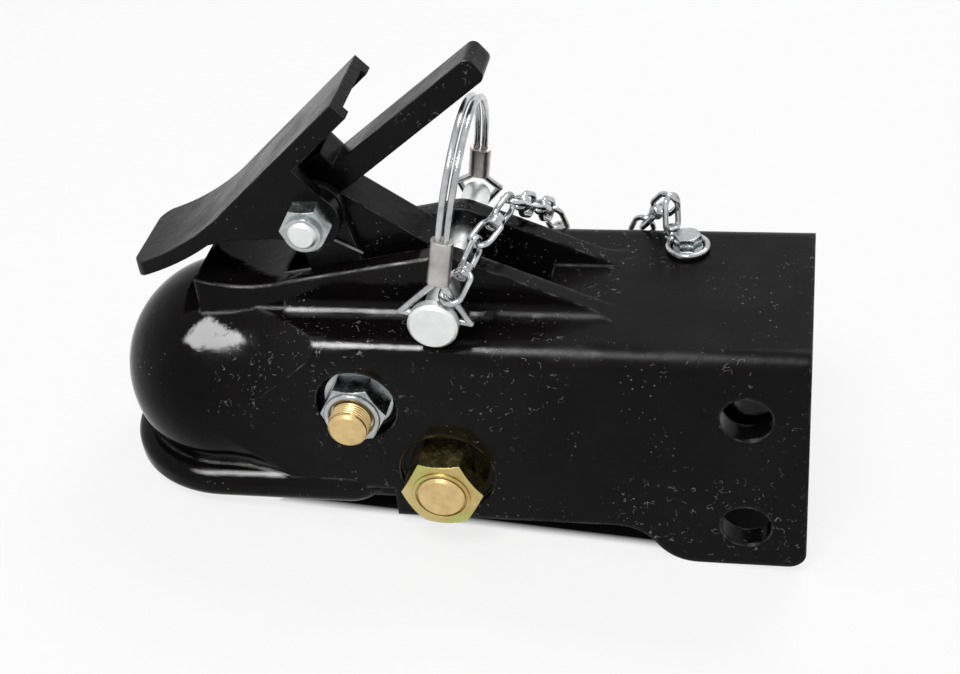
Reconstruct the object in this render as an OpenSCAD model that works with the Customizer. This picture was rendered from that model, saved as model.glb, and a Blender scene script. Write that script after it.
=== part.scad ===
// Trailer coupling head with a cast body, a ball clamp lever, a hand lever and a tethered lock pin.
// The origin is the centre of the tow ball, +X runs to the rear end, +Z is up. Millimetres.

/* [Ball and socket] */
// Diameter of the tow ball
ball_d = 58.7; // [50:0.1:60]
// Radial gap between the ball and the socket
ball_gap = 0.4; // [0.2:0.1:1]
// Depth of the straight mouth below the ball centre
lip_drop = 30; // [26:0.5:34]
// How far the front lip reaches under the ball
lip_hook = 1.5; // [0:0.1:3]

/* [Body casting] */
// Width across the two cheeks
body_w = 76.2; // [72:0.1:84]
// Distance from the ball centre to the rear end
rear_x = 198; // [185:1:230]
// Height of the flat top above the ball centre
top_z = 36; // [34:0.5:38]
// Bottom edge of the middle, below the ball centre
mid_drop = 34; // [32:0.5:38]
// Bottom edge of the rear cheeks, below the ball centre
tail_drop = 48.7; // [44:0.1:54]
// Length of the straight bottom edge of the rear cheeks
tail_len = 35; // [26:0.5:45]
// Length of the curve between the middle and the rear cheeks
sweep_len = 27; // [20:0.5:34]
// Thickness of the cheeks
wall = 8.2; // [6:0.1:8.2]
// Thickness of the top
roof = 8.5; // [6:0.1:10]
// Radius along the top shoulders
shoulder_r = 7; // [4:0.5:9]
// Radius of the lower rear corners
corner_r = 6; // [2:0.5:10]
// Radius of the flare where the dome runs into the body
flare_r = 80; // [70:1:110]
// Length of the flare
flare_len = 44; // [36:1:50]
// How far the rim bead stands out from the dome
bead_out = 2; // [1:0.1:5]
// Height of the rim bead
bead_h = 11.5; // [9:0.5:13]
// Rounding of the rim bead
bead_round = 4.5; // [2:0.1:5.5]
// Place where the rim bead ends, behind the ball centre
bead_end = 58; // [50:0.5:60]
// Place where the deeper middle starts, behind the ball centre
mid_start = 62; // [60:0.5:66]
// Height of the dome's lower edge, below the ball centre
neck_drop = 18; // [14:0.5:19]

/* [Ears] */
// Thickness of one ear
ear_t = 6.4; // [5:0.1:8]
// Gap between the two ears
ear_gap = 22; // [20:0.1:24]
// Radius of the ears round the pin
ear_r = 11; // [9:0.5:14]
// Place where the ears meet the top, behind the ball centre
ear_foot = 136; // [126:1:145]
// Front face of the raised block, behind the ball centre
block_front = -2; // [-4:0.5:0]
// Height of the raised block at its front, above the ball centre
block_top = 46.3; // [44:0.1:47]
// Height of the raised block at its dip
block_dip = 44; // [43:0.1:45]
// Start of the slot between the ears
slot_front = 28; // [26:0.5:30]
// End of the slot between the ears
slot_rear = 113; // [104:0.5:118]
// Radius of the fillet under the ears
ear_fillet = 4; // [2:0.5:6]

/* [Cheek holes] */
// Diameter of the mounting holes
hole_d = 16.5; // [15:0.1:18]
// Distance from the holes to the rear end
hole_back = 19.5; // [17:0.5:24]
// Height of the lower hole over the bottom edge of the cheeks
hole_up = 16.8; // [14:0.1:20]
// Distance between the two holes
hole_pitch = 44.45; // [40:0.05:46]

/* [Cross bolts] */
// Place of the lever pivot behind the ball centre
pivot_x = 53.5; // [52:0.5:56]
// Height of the lever pivot above the ball centre
pivot_z = 12.5; // [11:0.5:14]
// Diameter of the pivot bolt
pivot_d = 12.7; // [12:0.1:14]
// Diameter of the pocket round the pivot nut
pivot_pocket_d = 27; // [25:0.5:28]
// Depth of the pocket round the pivot nut
pivot_pocket = 6; // [3:0.5:7]
// Length of the pivot bolt past its nut
pivot_spare = 8; // [2:0.5:12]
// Place of the tie bolt behind the ball centre
tie_x = 81; // [80:0.5:86]
// Depth of the tie bolt below the ball centre
tie_drop = 15; // [13:0.5:17]
// Diameter of the tie bolt
tie_d = 15.9; // [14:0.1:16]
// Diameter of the pocket round the tie nut
tie_pocket_d = 32; // [30:0.5:34]
// Depth of the pocket round the tie nut
tie_pocket = 3; // [1:0.5:5]
// Length of the tie bolt past its nut
tie_spare = 1.5; // [0.5:0.5:5]
// Radial gap of bolts in their holes
bolt_gap = 0.3; // [0.2:0.05:0.6]
// Reach of the inner bosses from the cheeks
boss_h = 4.6; // [2:0.1:6]
// Outer diameter of the tie sleeve
sleeve_d = 20; // [18.5:0.5:22]

/* [Clamp lever] */
// Width of the jaw
jaw_w = 36; // [28:1:40]
// Width of the lever hub
hub_w = 26; // [22:1:32]
// Diameter of the lever hub
hub_d = 30; // [26:1:31]
// Depth of the lever neck, front to back
neck_d = 18; // [15:0.5:19]
// Side gap between the neck and the slot
neck_gap = 0.4; // [0.3:0.05:0.8]
// Thickness of each fork cheek
fork_t = 2.8; // [2:0.1:3.5]
// Outer diameter of the pivot bush
bush_d = 17; // [15.5:0.5:20]
// Radial running gap of the pivots
run_gap = 0.05; // [0.02:0.01:0.1]
// Place of the hand lever's bolt behind the ball centre
grip_x = 41; // [39:0.5:43]
// Height of the hand lever's bolt above the ball centre
grip_z = 69.5; // [66:0.5:72]
// Diameter of the hand lever's bolt
grip_d = 9.5; // [8:0.1:10]

/* [Hand lever] */
// Width of the hand lever
plate_w = 33; // [31:0.5:36]
// Thickness of the plate
plate_t = 4; // [3:0.1:5]
// Thickness of the side flanges
flange_t = 4.4; // [3:0.1:4.6]
// Depth of the flanges along the straight end, plate included
rim_h = 6.2; // [5:0.1:8]
// Distance from the bolt to the outer face of the plate
plate_off = 21.3; // [20:0.1:24]
// Slope of the straight end
plate_deg = 43; // [40:0.5:46]
// Slope of the front edge
front_deg = 17; // [14:0.5:22]
// Radius of the plate's curve
curve_r = 88; // [75:1:100]
// Length of the straight end
straight_len = 58; // [50:0.5:64]
// Start of the straight end, measured along the plate from the bolt
straight_from = -20.5; // [-24:0.5:-16]
// Radius of the flange round the bolt
lobe_r = 10; // [9:0.5:12]

/* [Trigger] */
// Width of the trigger bar
bar_w = 13; // [10:0.5:14]
// Thickness of the trigger bar
bar_t = 8.6; // [7:0.1:10]
// Slope of the trigger bar
bar_deg = 38.8; // [36:0.1:42]
// Distance from the bolt to the end of the bar
bar_len = 74.5; // [60:0.5:80]
// Depth of the bar's lower face under the bolt
bar_low = 2.1; // [0:0.1:4]
// Diameter of the trigger hub
trigger_hub_d = 18; // [16:0.5:19]
// Width of the trigger hub and arm
arm_w = 15; // [12:0.5:15]
// Reach of the trigger arm from the bolt
arm_reach = 41; // [36:0.5:42]

/* [Lock pin and bail] */
// Place of the lock pin behind the ball centre
pin_x = 83; // [82:0.5:88]
// Height of the lock pin above the ball centre
pin_z = 46.5; // [45:0.5:48]
// Diameter of the lock pin
pin_d = 9.5; // [8:0.1:10]
// Radial gap of the lock pin in the ears
pin_gap = 0.3; // [0.1:0.05:0.5]
// How far the pin stands out past each cheek
pin_over = 2.5; // [1:0.1:5]
// Diameter of the pin's head
head_d = 16; // [13:0.5:18]
// Thickness of the pin's head
head_t = 4; // [3:0.5:6]
// Wire diameter of the bail
bail_wire_d = 2.2; // [1.6:0.1:2.4]
// Lean of the bail towards the rear
bail_deg = 11; // [10:0.5:12]

/* [Tether chain] */
// Wire diameter of the chain
chain_wire_d = 2; // [1.6:0.1:2.2]
// Width of a chain loop
loop_w = 9; // [8:0.1:10]
// Diameter of the screw's washer face
washer_d = 10; // [9:0.5:10.5]
// Place of the chain screw behind the ball centre
screw_x = 156.5; // [150:0.5:158]
// Place of the chain screw beside the middle
screw_y = 22; // [20:0.5:23]

/* [Hidden] */
$fn = 64;
sink = 0.05;
seat_gap = 0.3;
half_w = body_w / 2;
dome_r = half_w - 0.1;
bead_r = dome_r + bead_out;
neck_r = sqrt(dome_r * dome_r - neck_drop * neck_drop);
socket_r = ball_d / 2 + ball_gap;
inner_y = half_w - wall;
rim_in = inner_y - 2;
inner_z = top_z - roof;
pin_y = half_w + pin_over;
slot_y = ear_gap / 2;
ear_top = pin_z + ear_r;
ear_y = slot_y + ear_t;
web_rear = 34;
hole_x = rear_x - hole_back;
hole_low = hole_up - tail_drop;
grip = [grip_x, grip_z];
pivot = [pivot_x, pivot_z];
lever_l = norm(grip - pivot);
lever_deg = atan2(grip_z - pivot_z, grip_x - pivot_x) - 90;
neck_w = ear_gap - 2 * neck_gap;
fork_y = neck_w / 2 - fork_t;
flange_y = plate_w / 2 - flange_t;
boss_y = inner_y - boss_h;
pivot_seat = half_w - pivot_pocket;
tie_seat = half_w - tie_pocket;

pivot_nut_h = 11.3;
tie_nut_h = 13.9;
grip_nut_h = 7;
trigger_bush_r = 6.2;
collar_h = 1.8;
bail_y = 6.1 - pin_y;
bail_r = bail_wire_d / 2;
strand = bail_r + 0.2;
foot_w = 14.5;
foot_y = 3.6 - pin_y;
near_r = 26;
far_r = 54;
join_deg = 70;
bridge = 3;
near_arc = [foot_y + near_r, 35, near_r];
far_arc = [
    near_arc.x - (far_r - near_r) * cos(join_deg) + bridge * sin(join_deg),
    near_arc.y - (far_r - near_r) * sin(join_deg) - bridge * cos(join_deg), far_r
];
drop_deg = 15;
far_len = 14;

// A flat outline in X and Z, given its width along Y
module along_y(w) {
    rotate([90, 0, 0]) linear_extrude(w, center = true) children();
}

// A flat outline in Y and Z, drawn out along X
module along_x(from, to) {
    translate([from, 0, 0]) rotate([90, 0, 90]) linear_extrude(to - from) children();
}

// A round bar along Y
module rod_y(r, from, to) {
    translate([0, from, 0]) rotate([-90, 0, 0]) cylinder(r = r, h = to - from);
}

// The same shape on both sides of the middle
module both_sides() {
    children();
    mirror([0, 1, 0]) children();
}

module at(p) {
    translate([p.x, 0, p.y]) children();
}

module tube_y(r_out, r_in, from, to) {
    difference() {
        rod_y(r_out, from, to);
        rod_y(r_in, from - 1, to + 1);
    }
}

// A hexagon along Z with a chamfered top
module hex_head(af, h) {
    intersection() {
        cylinder(r = af / 2 / cos(30), h = h, $fn = 6);
        cylinder(r1 = af / 2 + h * 1.7, r2 = af / 2 - 0.15, h = h);
    }
}

// Side outline of the body without its ears
module body_side() {
    fall = tail_drop - mid_drop;
    sweep_x = rear_x - tail_len - sweep_len;
    sweep_r = (sweep_len * sweep_len + fall * fall) / (4 * fall);
    half_x = sweep_x + sweep_len / 2;
    lap = 1;
    translate([-dome_r - lap, -neck_drop - bead_round])
        square([dome_r + mid_start + 2 * lap, neck_drop + bead_round + top_z + dome_r]);
    translate([mid_start, -mid_drop]) square([rear_x - mid_start, mid_drop + top_z]);
    difference() {
        polygon([
            [sweep_x, lap - mid_drop], [sweep_x, -mid_drop],
            [half_x, -mid_drop - fall / 2], [half_x, lap - mid_drop]
        ]);
        translate([sweep_x, -mid_drop - sweep_r]) circle(sweep_r);
    }
    intersection() {
        translate([sweep_x + sweep_len, sweep_r - tail_drop]) circle(sweep_r);
        translate([half_x, -tail_drop]) square([sweep_len / 2, fall + lap]);
    }
    translate([rear_x - tail_len, -tail_drop]) square([tail_len - corner_r, fall + lap]);
    translate([rear_x - corner_r, corner_r - tail_drop]) circle(corner_r);
    translate([rear_x - corner_r, corner_r - tail_drop]) square([corner_r, fall + lap - corner_r]);
}

// Cross section of the body, round at the shoulders
module body_section() {
    low = tail_drop + 1;
    translate([-half_w, -low]) square([body_w, low + top_z - shoulder_r]);
    translate([shoulder_r - half_w, -low]) square([body_w - 2 * shoulder_r, low + top_z]);
    for (side = [-1, 1])
        translate([side * (half_w - shoulder_r), top_z - shoulder_r]) circle(shoulder_r);
}

// The dome and the flare behind it, which widens until the whole section fits in
module dome_and_flare() {
    rise = flare_r - sqrt(flare_r * flare_r - flare_len * flare_len);
    rotate([0, 90, 0]) rotate_extrude($fn = 96) {
        intersection() {
            circle(dome_r, $fn = 180);
            translate([0, -dome_r - 1]) square([dome_r + 1, dome_r + 1]);
        }
        difference() {
            square([dome_r + rise, flare_len]);
            translate([dome_r + flare_r, 0]) circle(flare_r, $fn = 180);
        }
    }
}

module body_outer() {
    reach = dome_r + tail_drop;
    intersection() {
        along_y(body_w + 2) body_side();
        union() {
            along_x(0, rear_x) body_section();
            translate([-reach, -reach, -reach]) cube([reach + 1, 2 * reach, 2 * reach]);
        }
        union() {
            dome_and_flare();
            translate([flare_len - 0.5, -reach, -reach]) cube([rear_x, 2 * reach, 2 * reach]);
        }
    }
}

// Section of the rim, from the mouth out to the bead
module bead_section() {
    translate([rim_in, -lip_drop]) square([bead_r - bead_round - rim_in, bead_h]);
    translate([rim_in, bead_round - lip_drop]) square([bead_r - rim_in, bead_h - 2 * bead_round]);
    translate([rim_in, -lip_drop]) square([neck_r - rim_in, lip_drop - neck_drop + 1]);
    for (z = [bead_round - lip_drop, bead_h - bead_round - lip_drop])
        translate([bead_r - bead_round, z]) circle(bead_round);
}

module rim_bead() {
    turn_in = min(rim_in, bead_r - 2 * bead_round) - 0.5;
    turn_x = bead_end - bead_r + turn_in;
    intersection() {
        rotate_extrude($fn = 96) bead_section();
        translate([-bead_r - 1, -bead_r - 1, -lip_drop - 1])
            cube([bead_r + 1, 2 * bead_r + 2, lip_drop + 2]);
    }
    both_sides() {
        along_x(0, turn_x) bead_section();
        translate([turn_x, turn_in, 0]) rotate_extrude(angle = 90, $fn = 96)
            translate([-turn_in, 0]) bead_section();
        along_x(turn_x, mid_start + 1) translate([rim_in, -lip_drop])
            square([neck_r - rim_in, lip_drop - 1]);
    }
}

// Side outline of the raised block and the ears
module ear_side() {
    low = top_z - 4;
    slope_x = slot_front + 1;
    slope_z = block_top;
    dip_x = (block_front + slope_x) / 2;
    dip_d = block_top - block_dip;
    dip_r = (pow(slope_x - dip_x, 2) + dip_d * dip_d) / (2 * dip_d);
    front_v = [slope_x - pin_x, slope_z - pin_z];
    foot_v = [ear_foot - pin_x, top_z - pin_z];
    front_a = atan2(front_v.y, front_v.x) - acos(ear_r / norm(front_v));
    foot_a = atan2(foot_v.y, foot_v.x) + acos(ear_r / norm(foot_v));
    touch_r = ear_r - sink;
    difference() {
        union() {
            polygon([
                [block_front, low], [block_front, block_top], [slope_x, slope_z],
                [pin_x + touch_r * cos(front_a), pin_z + touch_r * sin(front_a)],
                [pin_x, pin_z],
                [pin_x + touch_r * cos(foot_a), pin_z + touch_r * sin(foot_a)],
                [ear_foot, top_z], [ear_foot, low]
            ]);
            translate([pin_x, pin_z]) circle(ear_r);
        }
        translate([dip_x, block_dip + dip_r]) circle(dip_r, $fn = 180);
    }
}

// Two ears that run out on the top, and the block in front of them
module ears() {
    both_sides() translate([0, (slot_y + ear_y) / 2, 0]) along_y(ear_t) ear_side();
    intersection() {
        along_y(ear_gap + ear_t) ear_side();
        translate([block_front - 1, -ear_y, 0]) cube([slot_front + 3 - block_front, 2 * ear_y, ear_top]);
    }
}

// Concave fillets where the ears stand on the top
module ear_fillets() {
    both_sides() intersection() {
        along_x(slot_front, ear_foot) difference() {
            translate([ear_y - 1, top_z - 1]) square([ear_fillet + 1, ear_fillet + 1]);
            translate([ear_y + ear_fillet, top_z + ear_fillet]) circle(ear_fillet);
        }
        along_y(body_w) ear_side();
    }
}

// Everything that is hollow inside the body
module body_hollow() {
    deep = tail_drop + 5;
    sphere(socket_r, $fn = 96);
    translate([lip_hook, 0, -deep]) cylinder(r = socket_r - 0.4, h = deep, $fn = 96);
    translate([lip_hook, -inner_y, -deep]) cube([rear_x, body_w - 2 * wall, deep + 4]);
    translate([web_rear, -inner_y, -deep]) cube([rear_x, body_w - 2 * wall, deep + inner_z]);
    translate([slot_front, -slot_y, inner_z - 8])
        cube([slot_rear - slot_front, ear_gap, ear_top]);
}

module housing() {
    color([0.05, 0.05, 0.06]) difference() {
        union() {
            difference() {
                union() {
                    body_outer();
                    rim_bead();
                    ears();
                    ear_fillets();
                }
                body_hollow();
            }
            both_sides() {
                at(pivot) rod_y(pivot_pocket_d / 2 + 1.5, boss_y, inner_y + 1);
                at([tie_x, -tie_drop]) rod_y(tie_pocket_d / 2 + 1.5, boss_y, inner_y + 1);
            }
        }
        both_sides() {
            at(pivot) rod_y(pivot_pocket_d / 2, pivot_seat, half_w + 5);
            at([tie_x, -tie_drop]) rod_y(tie_pocket_d / 2, tie_seat, half_w + 5);
        }
        at(pivot) rod_y(pivot_d / 2 + bolt_gap, -body_w, body_w);
        at([tie_x, -tie_drop]) rod_y(tie_d / 2 + bolt_gap, -body_w, body_w);
        at([pin_x, pin_z]) rod_y(pin_d / 2 + pin_gap, -body_w, body_w);
        for (i = [0, 1])
            at([hole_x, hole_low + i * hole_pitch]) rod_y(hole_d / 2, -body_w, body_w);
        translate([screw_x, screw_y, inner_z - 1]) cylinder(r = 2.2, h = roof + 2);
    }
}

// Outline of the lever's neck, along the line from the pivot to the grip bolt
module neck_side() {
    translate(pivot) rotate(lever_deg) translate([-neck_d / 2, 0]) square([neck_d, lever_l]);
    translate(grip) circle(neck_d / 2 + 1);
    translate(grip) rotate(lever_deg) translate([-neck_d / 2 - 1, -8]) square([neck_d / 2, 16]);
}

module jaw_side() {
    polygon([
        [pivot_x - 23, -3], [pivot_x - 10, 4], [pivot_x - 2.5, 0], [pivot_x - 3, -26],
        [pivot_x - 8, -32], [pivot_x - 21, -32.5], [pivot_x - 33, -24], [pivot_x - 33, -18]
    ]);
}

module clamp_lever() {
    fork_from = 33;
    color([0.12, 0.12, 0.13]) difference() {
        union() {
            at(pivot) rod_y(hub_d / 2, -hub_w / 2, hub_w / 2);
            along_y(neck_w) neck_side();
            along_y(jaw_w) jaw_side();
            along_y(neck_w) polygon([
                [pivot_x - 14, 8], [pivot_x + 8, 2], [pivot_x + 10, -10],
                [pivot_x + 5, -24], [pivot_x - 8, -31]
            ]);
        }
        sphere(socket_r, $fn = 96);
        along_y(2 * fork_y) translate(pivot) rotate(lever_deg)
            translate([-neck_d, fork_from]) square([2 * neck_d, lever_l]);
        at(pivot) rod_y(bush_d / 2, -hub_w, hub_w);
        at(grip) rod_y(grip_d / 2 + 0.1, -neck_w, neck_w);
    }
}

module lever_bush() {
    color([0.72, 0.55, 0.3]) at(pivot)
        tube_y(bush_d / 2, pivot_d / 2 + run_gap, -hub_w / 2, hub_w / 2);
}

module pivot_spacers() {
    color([0.6, 0.6, 0.62]) both_sides() at(pivot)
        tube_y(pivot_d / 2 + 3.5, pivot_d / 2 + 0.1, hub_w / 2 + seat_gap, boss_y);
}

// A bolt along Y with its head on the far side
module cross_bolt(d, af, head_h, head_y, end_y) {
    rod_y(d / 2, end_y + 1, head_y + 1);
    translate([0, end_y + 1, 0]) rotate([90, 0, 0]) cylinder(r1 = d / 2, r2 = d / 2 - 1, h = 1);
    translate([0, head_y, 0]) rotate([-90, 0, 0]) hex_head(af, head_h);
}

// A nut along Y that faces the near side, with an optional flange
module cross_nut(d, af, h, seat_y, flange_d) {
    translate([0, seat_y, 0]) rotate([90, 0, 0]) difference() {
        union() {
            hex_head(af, h);
            if (flange_d > af) cylinder(r1 = flange_d / 2, r2 = flange_d / 2 - 1, h = 2.2);
        }
        translate([0, 0, -1]) cylinder(r = d / 2, h = h + 2);
    }
}

module pivot_bolt() {
    color([0.78, 0.68, 0.35]) at(pivot)
        cross_bolt(pivot_d, 19, 8, pivot_seat, -pivot_seat - pivot_nut_h - pivot_spare);
}

module pivot_nut() {
    color([0.75, 0.75, 0.77]) at(pivot) cross_nut(pivot_d, 19, pivot_nut_h, -pivot_seat, 25);
}

module tie_bolt() {
    color([0.78, 0.68, 0.35]) at([tie_x, -tie_drop])
        cross_bolt(tie_d, 23.8, 10, tie_seat, -tie_seat - tie_nut_h - tie_spare);
}

module tie_nut() {
    color([0.8, 0.7, 0.36]) at([tie_x, -tie_drop])
        cross_nut(tie_d, 23.8, tie_nut_h, -tie_seat, 0);
}

module tie_sleeve() {
    color([0.6, 0.6, 0.62]) at([tie_x, -tie_drop])
        tube_y(sleeve_d / 2, tie_d / 2 + 0.1, -boss_y, boss_y);
}

// Upward side of the hand lever: a band under the curve and the straight end
module lever_band(depth) {
    lap_deg = 1.6;
    translate(grip) {
        rotate(plate_deg) translate([straight_from, plate_off - depth])
            square([straight_len, depth]);
        rotate(plate_deg) translate([straight_from, plate_off + curve_r]) rotate(-plate_deg)
            difference() {
                intersection() {
                    circle(curve_r + depth - sink, $fn = 180);
                    polygon([
                        [0, 0],
                        2 * curve_r * [sin(front_deg), -cos(front_deg)],
                        2 * curve_r * [sin(plate_deg + lap_deg), -cos(plate_deg + lap_deg)]
                    ]);
                }
                circle(curve_r + sink, $fn = 180);
            }
    }
}

module flange_side() {
    lever_band(rim_h - 1);
    translate(grip) {
        circle(lobe_r);
        polygon([
            [-39, -10.5], [-35.3, -10], [-27.8, -8], [-11, -7.2], [0, -lobe_r + 1], [lobe_r - 1, -1],
            [8.8, 3.8], [-2.7, 18], [-6, 20.5], [-28.5, 0]
        ]);
    }
    translate(grip) rotate(plate_deg) translate([0, plate_off - rim_h])
        square([straight_from + straight_len, rim_h]);
}

module hand_lever() {
    round_r = 6;
    high = 2 * lever_l + plate_off;
    lug_x = neck_d / 2 + 1.2;
    color([0.04, 0.04, 0.045]) intersection() {
        difference() {
            union() {
                along_y(plate_w) lever_band(plate_t);
                both_sides() translate([0, flange_y + flange_t / 2, 0]) along_y(flange_t) flange_side();
                both_sides() translate([0, fork_y + 2.5, 0]) along_y(4.4)
                    translate(pivot) rotate(lever_deg)
                        translate([-lug_x - 5, lever_l - 6]) square([5, 9]);
            }
            at(grip) rod_y(grip_d / 2 + 0.1, -plate_w, plate_w);
        }
        linear_extrude(high) lever_plan(round_r);
    }
}

// Plan view of the hand lever with rounded corners, a little wider than the plate
module lever_plan(r) {
    front_x = grip_x + straight_from * cos(plate_deg) - plate_off * sin(plate_deg)
        - curve_r * (sin(plate_deg) - sin(front_deg));
    rear_end = grip_x + (straight_from + straight_len) * cos(plate_deg);
    half = plate_w / 2 + 0.4;
    translate([front_x + r, -half]) square([rear_end - front_x - 2 * r, 2 * half]);
    translate([front_x, r - half]) square([rear_end - front_x, 2 * half - 2 * r]);
    for (x = [front_x + r, rear_end - r], y = [r - half, half - r])
        translate([x, y]) circle(r);
}

module grip_bolt() {
    color([0.72, 0.72, 0.74]) at(grip)
        cross_bolt(grip_d, 14.3, 6.4, plate_w / 2, -plate_w / 2 - grip_nut_h - collar_h - 1);
}

module grip_nut() {
    color([0.75, 0.75, 0.77]) at(grip) cross_nut(grip_d, 14.3, grip_nut_h, -plate_w / 2, 0);
}

module nut_collar() {
    color([0.9, 0.9, 0.92]) at(grip)
        tube_y(6, grip_d / 2, -plate_w / 2 - grip_nut_h - collar_h, -plate_w / 2 - grip_nut_h);
}

module grip_washer() {
    room = flange_y - neck_w / 2;
    color([0.6, 0.6, 0.62]) at(grip)
        tube_y(8.5, grip_d / 2 + 0.1, neck_w / 2 + 0.05, neck_w / 2 + room - 0.05);
}

// Side outline of the trigger's arm, which reaches over the lock pin
module trigger_arm() {
    nose_r = 3;
    reach = arm_reach - nose_r;
    nose_deg = -25.6;
    polygon([
        [9, 5], [reach * cos(nose_deg) + 1, reach * sin(nose_deg) + 2.8],
        [reach * cos(nose_deg), reach * sin(nose_deg)],
        [reach * cos(nose_deg) - 1.5, reach * sin(nose_deg) - 2.6], [27, -22], [19, -22.5],
        [7.5, -14], [-3, -8]
    ]);
    translate([reach * cos(nose_deg), reach * sin(nose_deg)]) circle(nose_r);
}

module trigger() {
    bar_up = bar_t - bar_low;
    tip_r = 2.5;
    color([0.05, 0.05, 0.055]) at(grip) difference() {
        union() {
            rod_y(trigger_hub_d / 2, -arm_w / 2, arm_w / 2);
            along_y(arm_w) trigger_arm();
            along_y(bar_w) rotate(bar_deg) {
                translate([0, -bar_low]) square([bar_len - tip_r, bar_t]);
                translate([0, tip_r - bar_low]) square([bar_len, bar_t - 2 * tip_r]);
                translate([bar_len - tip_r, tip_r - bar_low]) circle(tip_r);
                translate([bar_len - tip_r, bar_up - tip_r]) circle(tip_r);
                translate([3, bar_up - 1]) square([12, 7]);
            }
        }
        rod_y(trigger_bush_r + run_gap, -arm_w, arm_w);
    }
}

module trigger_bush() {
    color([0.72, 0.55, 0.3]) at(grip)
        tube_y(trigger_bush_r, grip_d / 2 + run_gap, -fork_y, fork_y);
}

// A wire coil along Z that starts at angle "from", with a straight leg at each end
module coil_spring(r, wire_r, pitch, turns, from, leg_in, leg_out) {
    steps = ceil(24 * turns);
    sides = 8;
    path = concat(
        [[from, 0, -leg_in]],
        [for (i = [0:steps]) [from + 360 * turns * i / steps, pitch * turns * i / steps, 0]],
        [[from + 360 * turns, pitch * turns, leg_out]]
    );
    last = len(path) - 1;
    polyhedron(
        points = [for (s = path) for (j = [0:sides - 1])
            let (b = 360 * j / sides, d = r + wire_r * cos(b))
            [d * cos(s[0]) - s[2] * sin(s[0]), d * sin(s[0]) + s[2] * cos(s[0]), s[1] + wire_r * sin(b)]],
        faces = concat(
            [for (i = [0:last - 1]) for (j = [0:sides - 1])
                [i * sides + j, i * sides + (j + 1) % sides,
                (i + 1) * sides + (j + 1) % sides, (i + 1) * sides + j]],
            [[for (j = [sides - 1:-1:0]) j]],
            [[for (j = [0:sides - 1]) last * sides + j]]
        )
    );
}

module return_spring() {
    wire_r = 1;
    coil_r = sleeve_d / 2 + wire_r + 0.4;
    color([0.5, 0.5, 0.52]) translate([tie_x, 13.2, -tie_drop]) rotate([90, 0, 0]) mirror([0, 0, 1])
        coil_spring(coil_r, wire_r, 2.3, 2.75, 90, 29, 39);
}

module trigger_spring() {
    wire_r = 0.6;
    color([0.5, 0.5, 0.52]) translate([grip_x, -neck_w / 2 - 0.72, grip_z]) rotate([90, 0, 0])
        coil_spring(6.4, wire_r, 0, 0.8, -47, 6, 20);
}

module lock_pin() {
    tip = 2;
    color([0.78, 0.79, 0.8]) at([pin_x, pin_z]) difference() {
        union() {
            rod_y(pin_d / 2, -pin_y, pin_y - tip);
            translate([0, pin_y - tip, 0]) rotate([-90, 0, 0])
                cylinder(r1 = pin_d / 2, r2 = pin_d / 2 - tip, h = tip);
            rod_y(head_d / 2, 1 - pin_y, head_t - pin_y);
            translate([0, -pin_y, 0]) rotate([-90, 0, 0])
                cylinder(r1 = head_d / 2 - 1, r2 = head_d / 2, h = 1);
        }
        rotate([0, 90 + bail_deg, 0]) translate([0, bail_y, 0])
            cylinder(r = bail_wire_d / 2 + 0.2, h = head_d, center = true);
    }
}

// A round wire between two points
module wire(r, a, b) {
    d = b - a;
    l = norm(d);
    translate(a) rotate([0, acos(d.z / l), atan2(d.y, d.x)]) cylinder(r = r, h = l);
}

// A wire through the points of a list, with round joints
module wire_path(r, pts) {
    for (i = [0:len(pts) - 2]) wire(r, pts[i], pts[i + 1]);
    for (i = [1:len(pts) - 2]) translate(pts[i]) sphere(r + 0.04, $fn = 24);
}

// A wire arc in the Y and Z plane, with a round joint at each end
module wire_arc(x, c, from, to) {
    trim = 0.2;
    translate([x, c.x, c.y]) rotate([90, 0, 90]) {
        rotate([0, 0, from + trim]) rotate_extrude(angle = to - from - 2 * trim, $fn = 96)
            translate([c.z, 0]) circle(bail_r, $fn = 24);
        for (a = [from, to])
            rotate([0, 0, a]) translate([c.z, 0, 0]) sphere(bail_r + 0.04, $fn = 24);
    }
}

function on_arc(c, a) = [c.x + c.z * cos(a), c.y + c.z * sin(a)];

module bail_frame() {
    translate([pin_x, 0, pin_z]) rotate([0, bail_deg, 0]) children();
}

module bail_wire() {
    near_top = on_arc(near_arc, join_deg);
    far_start = on_arc(far_arc, join_deg);
    far_top = on_arc(far_arc, drop_deg);
    far_low = far_top + far_len * [sin(drop_deg), -cos(drop_deg)];
    loop_y = far_low.x + 5;
    spread = 7.2;
    color([0.75, 0.76, 0.78]) bail_frame() {
        for (side = [-1, 1]) {
            wire_path(bail_r, [
                [side * strand, foot_y, near_arc.y], [side * strand, foot_y, foot_w],
                [side * 11.2, bail_y, 0], [side * 2.6, bail_y, 0]
            ]);
            wire_arc(side * strand, near_arc, join_deg, 180);
            wire(bail_r, [side * strand, near_top.x, near_top.y],
                [side * strand, far_start.x, far_start.y]);
            wire_arc(side * strand, far_arc, drop_deg, join_deg);
        }
        wire_path(bail_r, [
            [-strand, far_top.x, far_top.y], [-strand, far_low.x, far_low.y], [-spread, loop_y, 1],
            [-2.4, loop_y + 1, -7.5], [2.4, loop_y + 1, -7.5], [spread, loop_y, 1],
            [strand, far_low.x, far_low.y], [strand, far_top.x, far_top.y]
        ]);
    }
}

module ferrule(a, b) {
    d = b - a;
    l = norm(d);
    wide = 2 * strand;
    thick = bail_wire_d + 2.4;
    translate([0, a.x, a.y]) rotate([-atan2(d.x, d.y), 0, 0]) linear_extrude(l) difference() {
        union() {
            square([wide, thick], center = true);
            for (side = [-1, 1]) translate([side * strand, 0]) circle(thick / 2);
        }
        for (side = [-1, 1]) translate([side * strand, 0]) circle(bail_r);
    }
}

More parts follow.
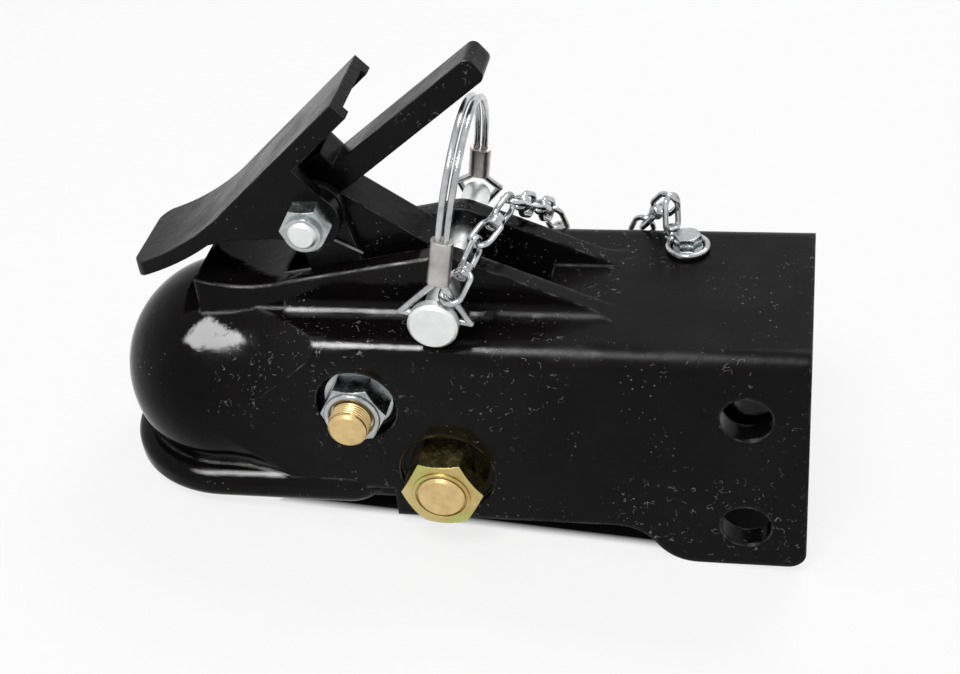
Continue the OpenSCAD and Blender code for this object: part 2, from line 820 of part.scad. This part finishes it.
module bail_ferrules() {
    far_top = on_arc(far_arc, drop_deg);
    dir = [sin(drop_deg), -cos(drop_deg)];
    color([0.62, 0.62, 0.64]) bail_frame() {
        ferrule([foot_y, foot_w + 0.5], [foot_y, foot_w + 16]);
        ferrule(far_top + 0.5 * dir, far_top + (far_len - 0.5) * dir);
    }
}

// One loop of a chain link in the Y and Z plane, from its end at z = 0 to the knot
module chain_loop(l) {
    wire_r = chain_wire_d / 2;
    arc_r = (loop_w - chain_wire_d) / 2;
    low = arc_r - wire_r - 0.25;
    high = l - arc_r;
    for (side = [-1, 1]) translate([0, side * arc_r, low]) cylinder(r = wire_r, h = high - low, $fn = 24);
    translate([0, 0, low]) rotate([90, 180, 90]) rotate_extrude(angle = 180, $fn = 48)
        translate([arc_r, 0]) circle(wire_r, $fn = 24);
    translate([0, 0, high]) rotate([90, 0, 90]) rotate_extrude(angle = 180, $fn = 48)
        translate([arc_r, 0]) circle(wire_r, $fn = 24);
}

// The wrapped middle of a chain link
module chain_knot() {
    coil_r = 1.7;
    rotate_extrude($fn = 48) {
        translate([0, -2.2]) square([coil_r + 0.4, 4.4]);
        for (z = [-1.6, 0, 1.6]) translate([coil_r, z]) circle(1, $fn = 24);
    }
}

// A double loop link between two contact points, the loops at right angles
module chain_link(a, b, roll) {
    d = b - a;
    l = norm(d);
    translate(a) rotate([0, acos(d.z / l), atan2(d.y, d.x)]) rotate([0, 0, roll]) {
        chain_loop(l / 2);
        translate([0, 0, l]) rotate([180, 0, 90]) chain_loop(l / 2);
        translate([0, 0, l / 2]) chain_knot();
    }
}

module tether_chain() {
    ring_r = 6.5;
    knot = [screw_x - 5.5, screw_y + 5, top_z + 3.3];
    last = knot + [-0.4, 3, 11.2];
    joints = [
        [88.8, -37.25, 55], [94.9, -17.3, 62.9], [102.2, 3.6, 65.3], [105.3, 21.7, 52.6],
        [108.3, 39.5, 39.5], [112.5, 46.5, 18.5], [133.5, 46.8, 16.5], [140.7, 41, 34.5], last
    ];
    rolls = [0, 0, 5, 5, -16, -33, 23, 29];
    up = knot - last;
    color([0.72, 0.73, 0.75]) {
        for (i = [0:len(rolls) - 1]) chain_link(joints[i], joints[i + 1], rolls[i]);
        translate(last) rotate([0, acos(up.z / norm(up)), atan2(up.y, up.x)]) rotate([0, 0, -52]) {
            chain_loop(norm(up));
            translate([0, 0, norm(up)]) chain_knot();
        }
        translate([screw_x, screw_y, top_z + 1.4]) rotate_extrude($fn = 48)
            translate([ring_r, 0]) circle(chain_wire_d / 2, $fn = 24);
    }
}

module chain_screw() {
    color([0.75, 0.75, 0.77]) translate([screw_x, screw_y, top_z]) {
        cylinder(r = washer_d / 2, h = 1.3);
        translate([0, 0, 1.3]) hex_head(8, 4.7);
        translate([0, 0, -roof - 1]) cylinder(r = 2.1, h = roof + 2);
    }
}

housing();
clamp_lever();
lever_bush();
pivot_spacers();
pivot_bolt();
pivot_nut();
tie_bolt();
tie_nut();
tie_sleeve();
return_spring();
hand_lever();
grip_bolt();
grip_nut();
nut_collar();
grip_washer();
trigger();
trigger_bush();
trigger_spring();
lock_pin();
bail_wire();
bail_ferrules();
tether_chain();
chain_screw();
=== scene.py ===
import math
import bpy
import bmesh
from mathutils import Matrix, Vector


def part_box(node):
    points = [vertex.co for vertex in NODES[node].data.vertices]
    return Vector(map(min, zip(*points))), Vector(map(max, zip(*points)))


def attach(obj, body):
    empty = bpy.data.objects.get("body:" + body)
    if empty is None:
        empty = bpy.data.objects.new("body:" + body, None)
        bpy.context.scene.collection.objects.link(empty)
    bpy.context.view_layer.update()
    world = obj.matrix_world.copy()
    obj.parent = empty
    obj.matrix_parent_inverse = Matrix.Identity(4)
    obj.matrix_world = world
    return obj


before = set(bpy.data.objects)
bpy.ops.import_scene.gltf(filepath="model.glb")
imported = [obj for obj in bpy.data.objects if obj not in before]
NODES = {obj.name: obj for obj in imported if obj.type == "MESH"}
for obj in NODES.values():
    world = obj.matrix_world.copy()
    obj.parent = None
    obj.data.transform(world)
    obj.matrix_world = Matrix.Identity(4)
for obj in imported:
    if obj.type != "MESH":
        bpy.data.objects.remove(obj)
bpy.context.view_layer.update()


# ---------------------------------------------------------------- node trees
def math_node(tree, op, a, b=None):
    """One maths node; each input is a socket or a number."""
    n = tree.nodes.new("ShaderNodeMath")
    n.operation = op
    for i, v in enumerate((a, b)):
        if v is None:
            continue
        if isinstance(v, (int, float)):
            n.inputs[i].default_value = v
        else:
            tree.links.new(v, n.inputs[i])
    return n.outputs[0]


def mix_node(tree, fac, a, b):
    """One colour mix; each colour is a socket or an RGB tuple."""
    n = tree.nodes.new("ShaderNodeMix")
    n.data_type = "RGBA"
    tree.links.new(fac, n.inputs[0])
    for i, v in ((6, a), (7, b)):
        if isinstance(v, tuple):
            n.inputs[i].default_value = (*v, 1)
        else:
            tree.links.new(v, n.inputs[i])
    return n.outputs[2]


def direct_ray(tree):
    """1 for camera, glossy and transmission rays, and 0 for the rays that light the part."""
    path = tree.nodes.new("ShaderNodeLightPath").outputs
    seen = math_node(tree, "MAXIMUM", path["Is Camera Ray"], path["Is Glossy Ray"])
    return math_node(tree, "MAXIMUM", seen, path["Is Transmission Ray"])


class Mat:
    """A Principled material with short names for the nodes that feed it."""

    def __init__(self, name, **values):
        self.m = bpy.data.materials.new(name)
        self.m.use_nodes = True
        self.t = self.m.node_tree
        self.p = self.t.nodes["Principled BSDF"]
        self.coord = self.t.nodes.new("ShaderNodeTexCoord").outputs["Object"]
        for key, value in values.items():
            self.p.inputs[key].default_value = value

    def node(self, kind, **props):
        n = self.t.nodes.new(kind)
        for key, value in props.items():
            setattr(n, key, value)
        return n

    def link(self, a, b):
        self.t.links.new(a, b)

    def noise(self, scale, detail=3, rough=0.55, stretch=None):
        n = self.node("ShaderNodeTexNoise")
        n.inputs["Scale"].default_value = scale
        n.inputs["Detail"].default_value = detail
        n.inputs["Roughness"].default_value = rough
        place = self.coord
        if stretch:
            m = self.node("ShaderNodeMapping")
            m.inputs["Scale"].default_value = stretch
            self.link(place, m.inputs["Vector"])
            place = m.outputs["Vector"]
        self.link(place, n.inputs["Vector"])
        return n.outputs["Fac"]

    def cells(self, scale):
        n = self.node("ShaderNodeTexVoronoi")
        n.inputs["Scale"].default_value = scale
        self.link(self.coord, n.inputs["Vector"])
        return n.outputs["Distance"]

    def span(self, value, from_min, from_max, to_min, to_max, smooth=False):
        n = self.node("ShaderNodeMapRange")
        if smooth:
            n.interpolation_type = "SMOOTHSTEP"
        self.link(value, n.inputs["Value"])
        limits = {"From Min": from_min, "From Max": from_max, "To Min": to_min, "To Max": to_max}
        for key, v in limits.items():
            n.inputs[key].default_value = v
        return n.outputs["Result"]

    def math(self, op, a, b=None):
        return math_node(self.t, op, a, b)

    def mix(self, fac, a, b):
        return mix_node(self.t, fac, a, b)

    def along(self):
        """The place along the coupling, in metres from the ball's centre."""
        n = self.node("ShaderNodeSeparateXYZ")
        self.link(self.coord, n.inputs[0])
        return n.outputs["X"]

    def rounded(self, radius):
        b = self.node("ShaderNodeBevel", samples=4)
        b.inputs["Radius"].default_value = radius
        return b.outputs["Normal"]

    def edges(self, reach):
        """Thin broken pale lines along the sharp edges: partly worn paint, partly a painted
        highlight where the edges catch the light.
        """
        n = self.node("ShaderNodeVectorMath", operation="DOT_PRODUCT")
        self.link(self.node("ShaderNodeNewGeometry").outputs["Normal"], n.inputs[0])
        self.link(self.rounded(reach * 0.5), n.inputs[1])
        # pale where the bevelled normal turns from the true one: worn edges, and also a painted
        # highlight along them
        worn_and_glint = self.span(n.outputs["Value"], 0.80, 0.97, 0.45, 0)
        return self.math("MULTIPLY", worn_and_glint, self.span(self.noise(160, 3), 0.42, 0.62, 0, 1))

    def color(self, value):
        self.link(value, self.p.inputs["Base Color"])

    def rough(self, value):
        self.link(value, self.p.inputs["Roughness"])

    def bump(self, *layers, bevel):
        """Layers of (height, distance in metres, strength) over edges rounded by the bevel."""
        last = self.rounded(bevel)
        for height, distance, strength in layers:
            n = self.node("ShaderNodeBump")
            n.inputs["Distance"].default_value = distance
            n.inputs["Strength"].default_value = strength
            self.link(height, n.inputs["Height"])
            self.link(last, n.inputs["Normal"])
            last = n.outputs["Normal"]
        self.link(last, self.p.inputs["Normal"])


# ---------------------------------------------------------------- materials
# pale colour of the dust specks, also used for the edge lines, which are partly a painted highlight
DUST_AND_EDGE_GLINT = (0.42, 0.41, 0.40)
ENAMEL_GLOSS = 0.10
REAR_GLOSS = 0.07
DOME_GLOSS = 0.055
BOLT_BEVEL = 0.0004
PATCHES = (1, 1.3, 0.8)


def dust(m):
    """Small pale specks and short scratches, as one mask."""
    specks = m.span(m.cells(430), 0.07, 0.17, 1, 0)
    where = m.span(m.noise(46, 2), 0.52, 0.64, 0, 1)
    # the lines where a noise crosses its middle, cut short by two others, make curved scratches
    off_level = m.math("ABSOLUTE", m.math("SUBTRACT", m.noise(330, 1), 0.5))
    strokes = m.span(off_level, 0.008, 0.020, 0.8, 0)
    short = m.span(m.noise(400, 1, stretch=PATCHES), 0.58, 0.62, 0, 1)
    here = m.span(m.noise(26, 2, stretch=PATCHES), 0.53, 0.60, 0, 1)
    scratch = m.math("MULTIPLY", strokes, m.math("MULTIPLY", short, here))
    return m.math("MAXIMUM", m.math("MULTIPLY", specks, where), scratch)


def enamel(name, base, gloss, satin, dust_amount, bump_fine, bevel, wave=0.5, handled=None):
    """Black paint; handled gives the stretch in x over which the gloss wears off to the rear."""
    m = Mat(name, **{"Specular IOR Level": ENAMEL_GLOSS})
    d = m.math("MULTIPLY", dust(m), dust_amount)
    tone = m.mix(m.span(m.noise(60, 3), 0.3, 0.7, 0, 1), base, tuple(c * 1.9 for c in base))
    # dust specks and the pale edge lines mix the paint towards one pale colour; the edge lines are
    # partly a painted highlight
    m.color(m.mix(m.math("MAXIMUM", d, m.edges(bevel)), tone, DUST_AND_EDGE_GLINT))
    worn = m.span(m.noise(38, 4), 0.42, 0.66, gloss, satin, smooth=True)
    if handled:
        x = m.along()
        worn = m.math("ADD", worn, m.span(x, *handled, 0, 0.2, smooth=True))
        dull = m.span(x, *handled, ENAMEL_GLOSS, REAR_GLOSS, smooth=True)
        deep = m.span(x, 0.0, 0.05, DOME_GLOSS, ENAMEL_GLOSS, smooth=True)
        m.link(m.math("MINIMUM", dull, deep), m.p.inputs["Specular IOR Level"])
    m.rough(m.math("ADD", worn, m.math("MULTIPLY", d, 0.35)))
    m.bump(
        (m.noise(95, 2, 0.4), 0.0009, wave),
        (m.noise(700, 3, 0.5), 0.0002, bump_fine),
        (d, 0.0002, 0.5),
        bevel=bevel,
    )
    return m


def zinc(name, base, dark, rough_lo, rough_hi, grain=0.35):
    m = Mat(name, Metallic=1.0)
    m.color(m.mix(m.span(m.noise(170, 4), 0.3, 0.75, 0, 1), base, dark))
    m.rough(m.span(m.noise(320, 4), 0.3, 0.7, rough_lo, rough_hi))
    fine, coarse = m.noise(1500, 2), m.noise(240, 2)
    m.bump((fine, 0.00006, grain), (coarse, 0.0002, grain), bevel=BOLT_BEVEL)
    return m


body = enamel(
    "enamel_body", (0.0030, 0.0024, 0.0024), 0.045, 0.16, 0.42, 0.14, 0.0022,
    wave=0.28, handled=(0.075, 0.13),
)
# bare casting where the paint is chipped at the rear end
CHIPS = (0.1955, 0.1978)
chip_x = body.span(body.along(), *CHIPS, 0, 1)
chip = body.math("MULTIPLY", chip_x, body.span(body.noise(420, 4), 0.60, 0.68, 0, 1))
painted = body.p.inputs["Base Color"].links[0].from_socket
body.color(body.mix(chip, painted, (0.07, 0.058, 0.05)))

lever = enamel("enamel_lever", (0.0020, 0.0020, 0.0021), 0.24, 0.40, 0.45, 0.7, 0.0010)
bar = enamel("enamel_trigger", (0.0018, 0.0018, 0.0020), 0.22, 0.36, 0.3, 0.45, 0.0010)
cast = enamel("casting_dark", (0.006, 0.006, 0.0058), 0.3, 0.5, 0.3, 0.7, 0.001)
bright = zinc("zinc_bright", (0.56, 0.58, 0.58), (0.28, 0.30, 0.31), 0.16, 0.34, 0.5)
wire = zinc("zinc_wire", (0.60, 0.61, 0.62), (0.26, 0.27, 0.28), 0.08, 0.22, 0.4)
ferrule = zinc("zinc_ferrule", (0.55, 0.54, 0.52), (0.34, 0.30, 0.29), 0.28, 0.46)
pale = zinc("zinc_pale", (0.86, 0.88, 0.86), (0.74, 0.77, 0.76), 0.34, 0.52, 0.5)
steel = zinc("steel_plain", (0.45, 0.45, 0.46), (0.25, 0.25, 0.26), 0.25, 0.45)
spring = zinc("steel_spring", (0.2, 0.2, 0.21), (0.08, 0.08, 0.08), 0.25, 0.45)
bronze = zinc("bronze", (0.45, 0.28, 0.12), (0.25, 0.16, 0.08), 0.35, 0.5)

# yellow chromate with green patches, on the tie nut
yellow = Mat("zinc_yellow", Metallic=1.0)
blotch = yellow.span(yellow.noise(120, 3), 0.35, 0.65, 0, 1)
tint = yellow.mix(blotch, (0.60, 0.50, 0.22), (0.48, 0.35, 0.13))
green = yellow.span(yellow.noise(75, 3), 0.5, 0.72, 0, 1)
yellow.color(yellow.mix(green, tint, (0.45, 0.49, 0.15)))
yellow.rough(yellow.span(yellow.noise(300, 3), 0.3, 0.7, 0.16, 0.32))
yellow.bump((yellow.noise(900, 3), 0.0001, 0.35), bevel=BOLT_BEVEL)

# the same chromate, more coppery, on the two cross bolts
copper = Mat("zinc_yellow_end", Metallic=1.0)
blotch = copper.span(copper.noise(260, 4), 0.35, 0.65, 0, 1)
copper.color(copper.mix(blotch, (0.74, 0.55, 0.26), (0.62, 0.45, 0.21)))
copper.rough(copper.span(copper.noise(500, 3), 0.3, 0.7, 0.26, 0.42))
copper.bump((copper.noise(1300, 3), 0.0001, 0.45), bevel=BOLT_BEVEL)

LOOKS = {
    "housing": body, "clamp_lever": cast, "lever_bush": bronze, "pivot_spacers": steel,
    "pivot_bolt": copper, "pivot_nut": bright, "tie_bolt": copper, "tie_nut": yellow,
    "tie_sleeve": steel, "return_spring": spring, "hand_lever": lever, "grip_bolt": pale,
    "grip_nut": bright, "nut_collar": bright, "grip_washer": bright, "trigger": bar,
    "trigger_bush": bronze, "trigger_spring": spring, "lock_pin": pale, "bail_wire": wire,
    "bail_ferrules": ferrule, "tether_chain": wire, "chain_screw": bright,
}
for node_name, obj in NODES.items():
    obj.data.materials.clear()
    obj.data.materials.append(LOOKS[node_name].m)


# ---------------------------------------------------------------- thread and nut lips
def piece(name, bm, mat, smooth=False):
    bmesh.ops.recalc_face_normals(bm, faces=bm.faces)
    mesh = bpy.data.meshes.new(name)
    bm.to_mesh(mesh)
    bm.free()
    if smooth:
        for f in mesh.polygons:
            f.use_smooth = True
    mesh.materials.append(mat.m)
    o = bpy.data.objects.new(name, mesh)
    bpy.context.scene.collection.objects.link(o)
    return o


def bolt_end(name, nut):
    """Centre, nut face and tip of a cross bolt's bare end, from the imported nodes."""
    low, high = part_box(name)
    nut_low, nut_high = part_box(nut)
    x = (nut_low[0] + nut_high[0]) / 2
    z = (nut_low[2] + nut_high[2]) / 2
    return x, z, nut_low[1], low[1]


def thread(name, mat, x, z, y_from, y_to, radius, pitch, depth):
    """Rolled thread ridges over the bare end of a cross bolt, from its tip inwards."""
    around = 56
    fade_share = 7
    turns = abs(y_to - y_from) / pitch
    steps = int(turns * around)
    # (place in one pitch, height in depths) of the root, the two edges of the crest and the root
    profile = ((-0.44, -0.15), (-0.06, 1.0), (0.06, 1.0), (0.44, -0.15))
    bm = bmesh.new()
    rings = []
    for i in range(steps + 1):
        t = i / steps
        a = t * turns * 2 * math.pi
        fade = min(1.0, t * fade_share, (1 - t) * fade_share)
        ring = []
        for along, up in profile:
            r = radius + depth * (up * fade if up > 0 else up)
            y = y_from + (y_to - y_from) * t + along * pitch
            ring.append(bm.verts.new((x + r * math.cos(a), y, z + r * math.sin(a))))
        rings.append(ring)
    for a, b in zip(rings, rings[1:]):
        for k in range(len(profile) - 1):
            bm.faces.new((a[k], a[k + 1], b[k + 1], b[k]))
    bm.faces.new(rings[0])
    bm.faces.new(list(reversed(rings[-1])))
    return piece(name, bm, mat)


def nut_crown(name, mat, x, z, face, bore, outer, height):
    """The rolled lip that locks a nut on its bolt, as a ring on the nut's outer face."""
    around = 72
    arc = 8
    seat = 0.0002
    mid, half = (outer + bore) / 2, (outer - bore) / 2
    profile = []
    for i in range(arc + 1):
        a = math.pi * i / arc
        up = height * math.sin(a) ** 0.6 - seat * (i in (0, arc))
        profile.append((mid + half * math.cos(a), up))
    bm = bmesh.new()
    rings = []
    for k in range(around):
        t = 2 * math.pi * k / around
        cos, sin = math.cos(t), math.sin(t)
        rings.append([bm.verts.new((x + r * cos, face - up, z + r * sin)) for r, up in profile])
    for a, b in zip(rings, rings[1:] + rings[:1]):
        for i in range(len(profile)):
            j = (i + 1) % len(profile)
            bm.faces.new((a[i], a[j], b[j], b[i]))
    return piece(name, bm, mat, smooth=True)


PIVOT_R = 0.00635
TIE_R = 0.0079
THREAD_PITCH = 0.0010
THREAD_DEPTH = 0.0003
TIP_CHAMFER = 0.0014

x, z, face, tip = bolt_end("pivot_bolt", "pivot_nut")
ridges = thread(
    "pivot_bolt_thread", copper, x, z, tip + TIP_CHAMFER, face, PIVOT_R, THREAD_PITCH, THREAD_DEPTH
)
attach(ridges, "housing")
lip = nut_crown("pivot_nut_crown", bright, x, z, face, PIVOT_R + 0.0007, PIVOT_R + 0.0030, 0.0016)
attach(lip, "housing")
x, z, face, tip = bolt_end("tie_bolt", "tie_nut")
lip = nut_crown("tie_nut_crown", yellow, x, z, face, TIE_R + 0.0004, TIE_R + 0.0018, 0.0008)
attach(lip, "housing")

# ---------------------------------------------------------------- floor
# The coupling stands on its rear cheeks and the front of its rim, which tilts the floor
REAR_FOOT = Vector((0.163, 0, -0.0487))
FRONT_FOOT = Vector((-0.0359, 0, -0.030))
FLOOR_SIZE = 30
FLOOR_GAP = 0.0001
FLOOR_GLOW = 0.8
PALE_FLOOR = (0.9, 0.9, 0.9)
# dark floor colour painted as shade inside the channel under the part
PAINTED_SHADE_FLOOR = (0.02, 0.02, 0.02)
# (axis, middle, reach) of the strip with painted shade, in the floor's own frame
STRIP = (("X", -0.058, 0.088), ("Y", 0.0, 0.034))
STRIP_FADE = 0.004

tilt = math.atan2(FRONT_FOOT.z - REAR_FOOT.z, REAR_FOOT.x - FRONT_FOOT.x)
bpy.ops.mesh.primitive_plane_add(size=FLOOR_SIZE)
floor = bpy.context.object
floor.name = "floor"
foot = Matrix.Translation(REAR_FOOT + Vector((0, 0, -FLOOR_GAP)))
floor.matrix_world = foot @ Matrix.Rotation(tilt, 4, "Y")
floor_material = bpy.data.materials.new("floor")
floor_material.use_nodes = True
ft = floor_material.node_tree
for n in list(ft.nodes):
    if n.type != "OUTPUT_MATERIAL":
        ft.nodes.remove(n)
diffuse = ft.nodes.new("ShaderNodeBsdfDiffuse")
glow = ft.nodes.new("ShaderNodeEmission")
glow.inputs["Strength"].default_value = 1.0

# the strip of floor inside the channel, seen only through the cheek holes, is painted dark as shade
# and keeps no glow
place = ft.nodes.new("ShaderNodeTexCoord")
apart = ft.nodes.new("ShaderNodeSeparateXYZ")
ft.links.new(place.outputs["Object"], apart.inputs[0])
sides = []
for axis, middle, reach in STRIP:
    away = math_node(ft, "ABSOLUTE", math_node(ft, "SUBTRACT", apart.outputs[axis], middle))
    edge = ft.nodes.new("ShaderNodeMapRange")
    edge.inputs["From Min"].default_value = reach - STRIP_FADE
    edge.inputs["From Max"].default_value = reach
    ft.links.new(away, edge.inputs["Value"])
    sides.append(edge.outputs[0])
beyond = math_node(ft, "MAXIMUM", *sides)
# painted shade: the floor's colour goes dark inside the strip
ft.links.new(mix_node(ft, beyond, PAINTED_SHADE_FLOOR, PALE_FLOOR), diffuse.inputs["Color"])
lit = math_node(ft, "MULTIPLY", direct_ray(ft), beyond)
blend = ft.nodes.new("ShaderNodeMixShader")
ft.links.new(math_node(ft, "MULTIPLY", lit, FLOOR_GLOW), blend.inputs[0])
ft.links.new(diffuse.outputs[0], blend.inputs[1])
ft.links.new(glow.outputs[0], blend.inputs[2])
ft.links.new(blend.outputs[0], ft.nodes["Material Output"].inputs["Surface"])
floor.data.materials.append(floor_material)

# ---------------------------------------------------------------- white surroundings
LIGHT_LEVEL = 0.40
SEEN_LEVEL = 1.0

world = bpy.data.worlds.new("world")
bpy.context.scene.world = world
world.use_nodes = True
wt = world.node_tree
back = wt.nodes["Background"]
level = wt.nodes.new("ShaderNodeMapRange")
level.inputs["To Min"].default_value = LIGHT_LEVEL
level.inputs["To Max"].default_value = SEEN_LEVEL
wt.links.new(direct_ray(wt), level.inputs["Value"])
wt.links.new(level.outputs[0], back.inputs["Strength"])
back.inputs["Color"].default_value = (1, 1, 1, 1)


# ---------------------------------------------------------------- lamps
def softbox(name, azimuth, elevation, dist, size, radiance, target=(0.07, 0, 0.02)):
    """A soft rectangular lamp of a given brightness, seen from the part in a given direction."""
    light = bpy.data.lights.new(name, "AREA")
    light.shape = "RECTANGLE"
    light.size, light.size_y = size
    light.energy = radiance * math.pi * size[0] * size[1]
    o = bpy.data.objects.new(name, light)
    bpy.context.scene.collection.objects.link(o)
    az, el = math.radians(azimuth), math.radians(elevation)
    v = Vector((math.cos(az) * math.cos(el), math.sin(az) * math.cos(el), math.sin(el)))
    o.location = Vector(target) + v * dist
    o.rotation_euler = v.to_track_quat("Z", "Y").to_euler()
    return o


softbox("key", -95, 62, 1.2, (0.35, 0.35), 16)
softbox("back", 60, 55, 1.3, (0.5, 0.5), 7)
# A window that only the enamel mirrors, as the real gloss shows its lamp far brighter than the rest
enamelled = bpy.data.collections.new("enamelled")
for node_name, mat in LOOKS.items():
    if mat in (body, lever, bar, cast):
        enamelled.objects.link(NODES[node_name])
gloss = softbox("gloss_window", -138, 58, 1.2, (0.40, 0.74), 110, (0.01, -0.02, 0.02))
gloss.visible_diffuse = False
gloss.light_linking.receiver_collection = enamelled

# ---------------------------------------------------------------- camera, solved from the photo
PHOTO_WIDTH = 960
FOCAL_PX = 1655.3
SENSOR_MM = 36
EYE = (0.196549, -0.439112, 0.341786)
YAW, PITCH, ROLL = (math.radians(a) for a in (13.908, 35.971, 6.564))

cam = bpy.data.cameras.new("camera")
cam.sensor_width = SENSOR_MM
cam.lens = FOCAL_PX / PHOTO_WIDTH * SENSOR_MM
cam.clip_start = 0.01
co = bpy.data.objects.new("camera", cam)
bpy.context.scene.collection.objects.link(co)
ahead = Vector(
    (-math.sin(YAW) * math.cos(PITCH), math.cos(YAW) * math.cos(PITCH), -math.sin(PITCH))
)
side = Vector((math.cos(YAW), math.sin(YAW), 0))
down = ahead.cross(side)
right = math.cos(ROLL) * side + math.sin(ROLL) * down
below = -math.sin(ROLL) * side + math.cos(ROLL) * down
turn = Matrix((right, -below, -ahead)).transposed().to_4x4()
co.matrix_world = Matrix.Translation(EYE) @ turn
bpy.context.scene.camera = co
bpy.context.scene.view_settings.view_transform = "Standard"
